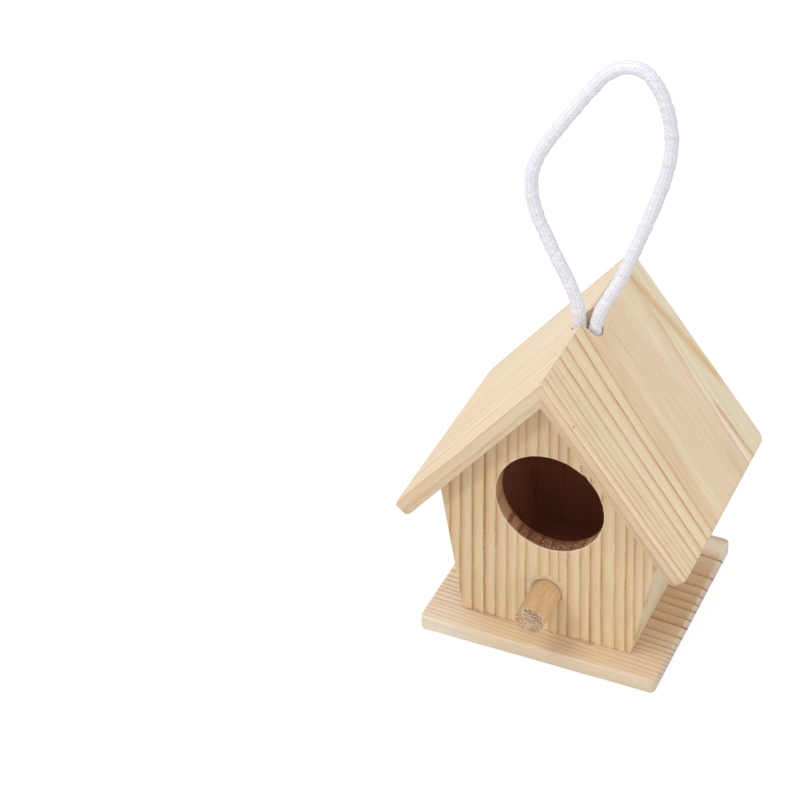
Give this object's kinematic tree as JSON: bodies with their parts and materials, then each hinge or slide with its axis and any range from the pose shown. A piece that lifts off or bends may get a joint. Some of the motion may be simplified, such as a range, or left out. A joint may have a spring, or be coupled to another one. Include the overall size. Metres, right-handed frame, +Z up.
{
  "type": "birdhouse",
  "caption": "Small hanging birdhouse of unfinished pale pine: gabled roof, round entrance with a dowel perch, base plate and a loop of white braided rope through the ridge.",
  "frame": {"origin": "middle of the base plate's underside, on the surface that the house stands on", "axes": "+Z up, -Y out of the front wall with the entrance and perch, +X to the viewer's right when facing the front"},
  "size_m": [0.11, 0.0965, 0.227],
  "materials": {
    "pine": "sanded, unfinished pine",
    "dowel": "sanded, unfinished dowel",
    "cotton_rope": "braided white cotton"
  },
  "bodies": {
    "root": {"base_plate": "pine", "front_wall": "pine", "back_wall": "pine", "left_side_wall": "pine", "right_side_wall": "pine", "left_roof_board": "pine", "right_roof_board": "pine", "perch_dowel": "dowel", "rope_loop": "cotton_rope", "rope_knot": "cotton_rope"}
  },
  "joints": []
}
